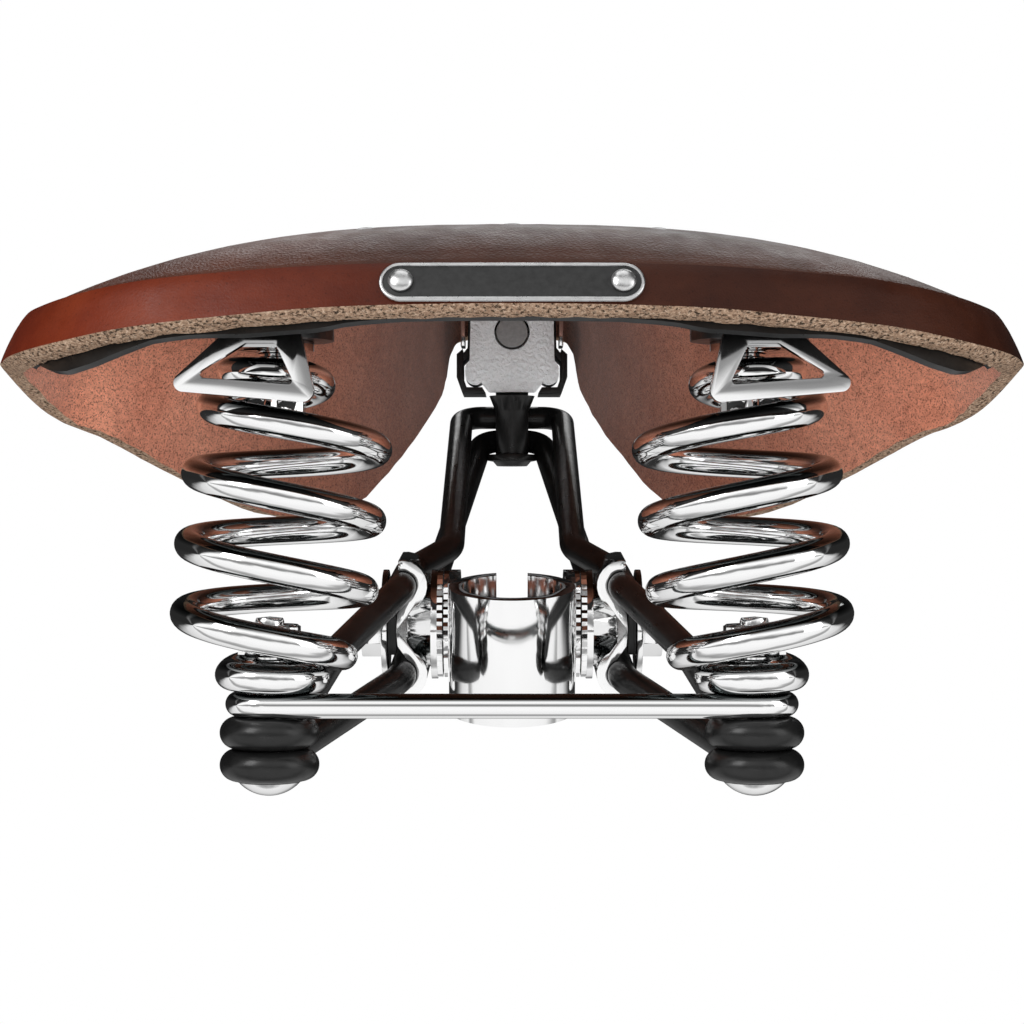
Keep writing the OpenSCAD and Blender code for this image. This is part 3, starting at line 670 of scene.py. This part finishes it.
def rail(name, node, front, bend, up, via, eye_z):
    """One black rod: from the bar at the shackle through the clamp's groove and round the spring bolt."""
    rear = [(RAIL_X, 0, groove_z(0, up), GROOVE_BEND)] + via
    dx, dy = rear[-1][0] - SPRING_X, rear[-1][1] - SPRING_Y
    a0 = math.atan2(dy, dx) - math.acos(EYE_R/math.hypot(dx, dy))
    t = around(EYE_R, eye_z, a0)
    back = unit(np.array((rear[-1][0] - t[0], rear[-1][1] - t[1], 0)))
    near = tuple(np.array(t) + EYE_LEAD*back) + (EYE_BEND,)
    ahead = (RAIL_X, front[3], groove_z(front[3], up), GROOVE_BEND)
    half = rounded([(0, *front[1:3]), (*front[:3], BAR_BEND), *bend, ahead, *rear, near, t])
    half += [around(EYE_R, eye_z, a0 - EYE_TURN*k/EYE_STEPS) for k in range(1, EYE_STEPS + 1)]
    return rod(name, node, whole(half), RAIL_D, BLACK)


def rod(name, node, path, diameter, slot):
    points, faces = tube(evened(path, step=3), diameter, sides=40)
    obj = make(name, [p*MM for p in points], faces, "undercarriage", slot, slot, sharp=40)
    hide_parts(node)
    return obj


rail("upper_rail_rod", "upper_rail", (14.4, BAR_Y, 57, 39), [(14.8, 53, 21.3, 12)], 1,
     [(37.5, -21.5, 0, 14)], UPPER_EYE_Z)
rail("lower_rail_rod", "lower_rail", (8.5, BAR_Y, 50.3, 42), [], -1, [], LOWER_EYE_Z)
cross_half = [(0, SPRING_Y - CROSS_EYE_R, CROSS_Z)]
cross_half += [around(CROSS_EYE_R, CROSS_Z, math.radians(-90 + CROSS_TURN*k/EYE_STEPS))
               for k in range(EYE_STEPS + 1)]
rod("cross_rod_bar", "cross_rod", whole(cross_half), CROSS_D, CHROME)

# Springs: (turn, radius, height, inward shift of the middle, tilt)
KNOTS = [(0.85, 8.6, COIL_LOW_Z - 0.9, 0.6, 0), (1.5, 8.6, COIL_LOW_Z + 0.4, 0.6, 0),
         (2, 14.6, 1.6, 0.2, 0.04), (2.5, 17.6, 8.6, 0.6, 0.08), (3.5, 18, 22.6, 1.9, 0.08),
         (4.5, 18, 36.8, 3.3, 0.08), (5, 18, 43.8, 3.8, 0.06), (5.5, 13.8, 51.2, 2, 0.02),
         (6.1, 8.6, 57.2, 0.9, 0), (6.7, 8.4, COIL_HIGH_Z + 0.2, 0.9, 0)]


def spring_point(t):
    k = next(i for i in range(len(KNOTS) - 1) if i == len(KNOTS) - 2 or KNOTS[i + 1][0] >= t)
    a, b = np.array(KNOTS[k]), np.array(KNOTS[k + 1])
    f = (t - a[0])/(b[0] - a[0])
    e = f*f*(3 - 2*f)
    r = a[1] + (b[1] - a[1])*e
    z, shift, tilt = a[2:] + (b[2:] - a[2:])*f
    c, d = r*math.cos(2*math.pi*t), r*math.sin(2*math.pi*t)
    return np.array((SPRING_X - shift - c, SPRING_Y - d, z - tilt*c))


FIRST_TURN, COIL_TURNS, COIL_STEPS = 0.85, 5.85, 420
spring_path = np.array([spring_point(FIRST_TURN + COIL_TURNS*k/COIL_STEPS) for k in range(COIL_STEPS + 1)])
for side, sign in (("right", 1), ("left", -1)):
    points, faces = tube(spring_path*np.array((sign, 1, 1)), WIRE_D, sides=32)
    coil = make("spring_" + side + "_coil", [p*MM for p in points], faces, None, CHROME, CHROME, sharp=40)
    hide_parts("spring_" + side)
    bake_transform(coil)


# ---------- Bolts, rivets and the nameplate ----------
def scaled(part):
    points, faces = part
    return [Vector(p)*MM for p in points], faces


PITCH, THREAD_DEPTH = 1.25, 0.55


def thread(radius, z0, z1):
    """Ridges along a bolt, from z0 to z1."""
    root = radius - THREAD_DEPTH
    rows, z = [(root, z0)], z0
    while z < z1 - PITCH:
        rows += [(root, z + 0.18*PITCH), (radius, z + 0.42*PITCH), (radius, z + 0.58*PITCH),
                 (root, z + 0.82*PITCH)]
        z += PITCH
    return rows + [(root, z1)]


HEX_STEPS, HEX_SLANT = 48, 0.495
CONE_CUT, CONE_SPARE, BORE_EDGE = 0.4, 0.15, 0.5


def hex_part(across, height, base, centre, bore=None):
    """Hexagon nut or head about Z; its upper and lower corners are cut by a cone."""
    points, faces, n = [], [], HEX_STEPS
    rows = []
    flat = across/2
    cut = flat - CONE_CUT
    for z, cone in ((0, cut), (HEX_SLANT, None), (height - HEX_SLANT, None), (height, cut)):
        ring = []
        for k in range(n):
            a = 2*math.pi*k/n
            away = (a + math.pi/6) % (math.pi/3) - math.pi/6
            reach = flat/math.cos(away)
            if cone:
                reach = min(reach, cone + CONE_SPARE)
            ring.append((centre[0] + reach*math.cos(a), centre[1] + reach*math.sin(a), base + z))
        rows.append(ring)
    for ring in rows:
        points += ring
    m = len(rows)
    faces += rings(0, m - 1, n)
    if bore:
        for z in (height, height - BORE_EDGE, BORE_EDGE, 0):
            r = bore + (BORE_EDGE if z in (0, height) else 0)
            turns = [2*math.pi*k/n for k in range(n)]
            points += [(centre[0] + r*math.cos(a), centre[1] + r*math.sin(a), base + z) for a in turns]
        faces += rings(m - 1, m + 3, n)
        faces += [((m + 3)*n + k, (m + 3)*n + (k + 1) % n, (k + 1) % n, k) for k in range(n)]
    else:
        faces += [tuple(range(n))[::-1], tuple(range((m - 1)*n, m*n))]
    return points, faces


def pair(part):
    return joined(part, mirrored(part))


def fastener(name, node, part, body):
    """Chromed bolt or nut on the right spring, and its mirror image on the left one."""
    obj = make(name, *scaled(pair(part)), body, CHROME, CHROME, sharp=38)
    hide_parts(node)


UPPER_X = SPRING_X - 1
SHANK = BOLT_D/2
PLAIN = SHANK - 0.05              # radius of the shank where it has no thread
AXIS = 0.01                       # a bolt's profile starts and ends this far off its axis
NUT_ACROSS, NUT_H, NUT_BORE = 12, 6.4, SHANK + 0.1
bolt_profile = [(AXIS, 46), (SHANK - 0.9, 46)] + thread(SHANK, 46.6, 66)
bolt_profile += [(PLAIN, 66.2), (PLAIN, 68), (AXIS, 68)]
upper_bolt = joined(turned(bolt_profile, (UPPER_X, SPRING_Y, 0)),
                    hex_part(13, 4.6, BRACKET_Z + 2.6, (UPPER_X, SPRING_Y)))
upper_nut = hex_part(NUT_ACROSS, NUT_H, COIL_HIGH_Z - WIRE_D/2 - 8.9, (UPPER_X, SPRING_Y), NUT_BORE)
fastener("upper_bolts_threaded", "upper_bolts", upper_bolt, "seat_top")
fastener("upper_nuts_hex", "upper_nuts", upper_nut, "seat_top")
low_z = LOWER_EYE_Z - RAIL_D/2 - 0.1
HEAD_H, DOME_R = 3.0, 8.4
dome = [(AXIS, low_z - HEAD_H)]
dome += [(r, low_z + (DOME_R - HEAD_H) - math.sqrt(DOME_R**2 - r*r)) for r in np.linspace(0.8, 6.3, 14)]
dome += [(6.45, low_z - 0.15), (6.4, low_z), (PLAIN, low_z)]
top_z = COIL_LOW_Z + WIRE_D/2 + 9
dome += [(PLAIN, COIL_LOW_Z + 2)] + thread(SHANK, COIL_LOW_Z + 2.4, top_z - 1)
dome += [(SHANK - 0.8, top_z - 0.3), (AXIS, top_z)]
lower_bolt = turned(dome, (SPRING_X, SPRING_Y, 0), steps=56)
lower_nut = hex_part(NUT_ACROSS, NUT_H, COIL_LOW_Z + WIRE_D/2 + 1, (SPRING_X, SPRING_Y), NUT_BORE)
fastener("lower_bolts_domed", "lower_bolts", lower_bolt, "undercarriage")
fastener("lower_nuts_hex", "lower_nuts", lower_nut, "undercarriage")

# Nameplate: black field with a raised plain border, and no lettering
PLATE_W, PLATE_H, BORDER = 48.3, 7.9, 0.75
PLATE_AT, PLATE_LEAN = (0, -89.3, 71.45), math.radians(64)
BAND_CURVE = 31                   # this far from its middle, the band lies 1 mm further forward
band_frame = Matrix.Translation(Vector(PLATE_AT)*MM) @ Matrix.Rotation(PLATE_LEAN, 4, "X")


def wrapped(p):
    """p moved forward as the rear band curves away from its middle."""
    return Vector((p[0], p[1] + (p[0]/(BAND_CURVE*MM))**2*MM, p[2]))


END_STEPS, SIDE_STEPS = 16, 24


def stadium(inset, z):
    """Ring of points of the plate's outline from its right end, set in by inset, at height z."""
    r, half = PLATE_H/2 - inset, (PLATE_W - PLATE_H)/2
    upper = [(half + r*math.cos(a), r*math.sin(a)) for a in np.linspace(0, math.pi/2, END_STEPS)]
    upper += [(half*(1 - 2*k/SIDE_STEPS), r) for k in range(1, SIDE_STEPS)]
    quarter = np.linspace(math.pi/2, math.pi, END_STEPS)
    upper += [(-half + r*math.cos(a), r*math.sin(a)) for a in quarter]
    ring = upper + [(x, -y) for x, y in upper[-2:0:-1]]
    return [wrapped(band_frame @ (Vector((x, y, z))*MM)) for x, y in ring]


def plate(levels):
    points, faces = [], []
    for inset, z in levels:
        points += stadium(inset, z)
    n = len(points)//len(levels)
    faces += rings(0, len(levels) - 1, n)
    # Caps as strips between the plate's upper and lower edge
    for base, order in ((0, -1), ((len(levels) - 1)*n, 1)):
        for k in range(n//2):
            quad = (base + k, base + k + 1, base + n - k - 1, base + (n - k) % n)
            faces.append(tuple(dict.fromkeys(quad))[::order])
    return points, faces


def dome_rivet(side):
    """Head of the nameplate's rivet on one side, on a thin washer edge."""
    r, h, washer = 2.3, 1.25, 0.25
    rows = [(r*0.98, -0.05), (r, washer)]
    arc = np.linspace(0.12, math.pi/2 - 0.02, 10)
    rows += [(r*math.cos(a), washer + (h - washer)*math.sin(a)) for a in arc]
    points, faces = turned(rows, (0, 0, 0), steps=40)
    seat = band_frame @ Matrix.Translation(Vector((side*(PLATE_W - PLATE_H)/2, 0, 0.9))*MM)
    return [wrapped(seat @ (Vector(p)*MM)) for p in points], faces


rim_levels = [(0.05, 0), (0, 0.15), (0, 0.72), (0.12, 0.88), (0.35, 0.93), (BORDER - 0.12, 0.90),
              (BORDER, 0.72), (BORDER, 0.5)]
field_levels = [(BORDER - 0.03, 0.4), (BORDER - 0.03, 0.62), (BORDER + 0.05, 0.64)]
border = make("nameplate_rim", *plate(rim_levels), "seat_top", "plate_black", STEEL, sharp=45)
make("nameplate_field", *plate(field_levels), "seat_top", "plate_black", "field", sharp=45)
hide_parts("nameplate")
heads = joined(dome_rivet(-1), dome_rivet(1))
rivets = make("nameplate_rivet_heads", *heads, "seat_top", STEEL, STEEL, sharp=60)
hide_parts("nameplate_rivets")

# ---------- Every other CAD piece: the same solid with its edges eased ----------
# Node, slot, and how far its edges are rounded in mm
SOLIDS = [("spring_bracket_left", BLACK, 0.4), ("spring_bracket_right", BLACK, 0.4),
          ("bag_loop_left", CHROME, 0.55), ("bag_loop_right", CHROME, 0.55), ("nose_bracket", BLACK, 0.35),
          ("nose_strips", CHROME, 0.25), ("tension_cradle", SILVER, 0.5), ("tension_pin", STEEL, 0.45),
          ("tension_nut", STEEL, 0.3), ("pivot_pin", CHROME, 0.3), ("front_shackle", BLACK, 0.45),
          ("shackle_keeper", BLACK, 0.35), ("shackle_screw", BLACK, 0.25), ("post_band", CHROME, 0.18),
          ("side_plate_left", CHROME, 0.2), ("side_plate_right", CHROME, 0.2), ("cheek_left", BLACK, 0.5),
          ("cheek_right", BLACK, 0.5), ("clamp_washers", CHROME, 0.25), ("clamp_bolt", CHROME, 0.45),
          ("clamp_nut", CHROME, 0.45), ("rear_rivets", BLACK, 0), ("nose_rivets", CHROME, 0)]
OWN_MATERIAL = {"bag_loop_left": "loop", "bag_loop_right": "loop", "tension_pin": "pin"}
for node, slot, bevel in SOLIDS:
    refined(node, slot, bevel, OWN_MATERIAL.get(node))

# ---------- Camera and studio ----------
scene = bpy.context.scene
camera = bpy.data.objects.new("camera", bpy.data.cameras.new("camera"))
scene.collection.objects.link(camera)
camera.location = (0, -0.506, 0.030)
camera.rotation_euler = (math.pi/2, 0, 0)
camera.data.sensor_width = 36
camera.data.lens = 80.859375
camera.data.clip_start = 0.01
scene.camera = camera
scene.view_settings.view_transform = "Standard"
scene.view_settings.look = "None"


def area(name, place, aim, size, power):
    light = bpy.data.lights.new(name, "AREA")
    light.shape = "RECTANGLE"
    light.size, light.size_y = size
    light.energy = power
    obj = bpy.data.objects.new(name, light)
    scene.collection.objects.link(obj)
    obj.location = place
    obj.rotation_euler = (Vector(aim) - Vector(place)).to_track_quat("-Z", "Y").to_euler()
    return obj


AIM = (0, 0, 0.04)
area("key", (-0.75, -0.75, 0.75), AIM, (0.5, 0.7), 6)
area("fill", (0.95, -0.55, 0.35), AIM, (0.5, 0.8), 1.6)
area("rear", (0.1, 0.9, 0.8), AIM, (0.9, 0.5), 4)
area("above", (0, -0.1, 1.1), AIM, (0.8, 0.6), 2.0)
# Lights the parts in the shade of the leather, and shows in no reflection
area("front", (0, -1.0, -0.05), (0, 0.1, 0.06), (0.5, 0.3), 5.0).visible_glossy = False

# The studio: white to the camera, and light and dark panels to everything that reflects it
world = bpy.data.worlds.new("studio")
scene.world = world
world.use_nodes = True
wt = world.node_tree
wt.nodes.clear()


def wnode(kind, **settings):
    node = wt.nodes.new(kind)
    for key, value in settings.items():
        setattr(node, key, value)
    return node


# Angle round the X axis, from the camera's side (0) over the top (90) to the far side (180 or -180)
direction = wnode("ShaderNodeTexCoord").outputs["Generated"]
split = wnode("ShaderNodeSeparateXYZ")
wt.links.new(direction, split.inputs[0])
toward = wnode("ShaderNodeMath", operation="MULTIPLY")
toward.inputs[1].default_value = -1
wt.links.new(split.outputs["Y"], toward.inputs[0])
angle = wnode("ShaderNodeMath", operation="ARCTAN2")
wt.links.new(split.outputs["Z"], angle.inputs[0])
wt.links.new(toward.outputs[0], angle.inputs[1])
# Noise bends the panels, so that long reflections aren't ruler straight
WAVE, WAVE_MIDDLE = 0.55, 0.27
wave = wnode("ShaderNodeTexNoise")
wave.inputs["Scale"].default_value = 2.2
wave.inputs["Detail"].default_value = 2.0
wt.links.new(direction, wave.inputs["Vector"])
bent = wnode("ShaderNodeMath", operation="MULTIPLY_ADD")
bent.inputs[1].default_value = WAVE
wt.links.new(wave.outputs["Fac"], bent.inputs[0])
wt.links.new(angle.outputs[0], bent.inputs[2])
STUDIO_STRENGTH = 1.02
height = wnode("ShaderNodeValToRGB")
# Angle in degrees, grey
stops = [(-180, 0.02), (-163, 0.03), (-150, 0.42), (-138, 0.70), (-104, 0.85), (-92, 0.30), (-80, 0.42),
         (-66, 0.88), (-24, 0.98), (-6, 0.95), (3, 0.30), (12, 0.22), (22, 0.62), (30, 1.0), (50, 1.05),
         (60, 0.50), (70, 0.03), (100, 0.02), (112, 0.16), (122, 0.02), (180, 0.02)]
ramp = height.color_ramp
while len(ramp.elements) < len(stops):
    ramp.elements.new(0.5)
for element, (degrees, grey) in zip(ramp.elements, stops):
    element.position = (degrees + 180)/360
    element.color = (grey, grey, grey, 1)
lift = wnode("ShaderNodeMapRange")
lift.inputs["From Min"].default_value = -math.pi + WAVE_MIDDLE
lift.inputs["From Max"].default_value = math.pi + WAVE_MIDDLE
wt.links.new(bent.outputs[0], lift.inputs["Value"])
wt.links.new(lift.outputs[0], height.inputs["Fac"])
studio = wnode("ShaderNodeBackground")
studio.inputs["Strength"].default_value = STUDIO_STRENGTH
wt.links.new(height.outputs["Color"], studio.inputs["Color"])
white = wnode("ShaderNodeBackground")
white.inputs["Color"].default_value = (1, 1, 1, 1)
white.inputs["Strength"].default_value = 1.0
path = wnode("ShaderNodeLightPath")
choose = wnode("ShaderNodeMixShader")
wt.links.new(path.outputs["Is Camera Ray"], choose.inputs["Fac"])
wt.links.new(studio.outputs[0], choose.inputs[1])
wt.links.new(white.outputs[0], choose.inputs[2])
wt.links.new(choose.outputs[0], wnode("ShaderNodeOutputWorld").inputs["Surface"])
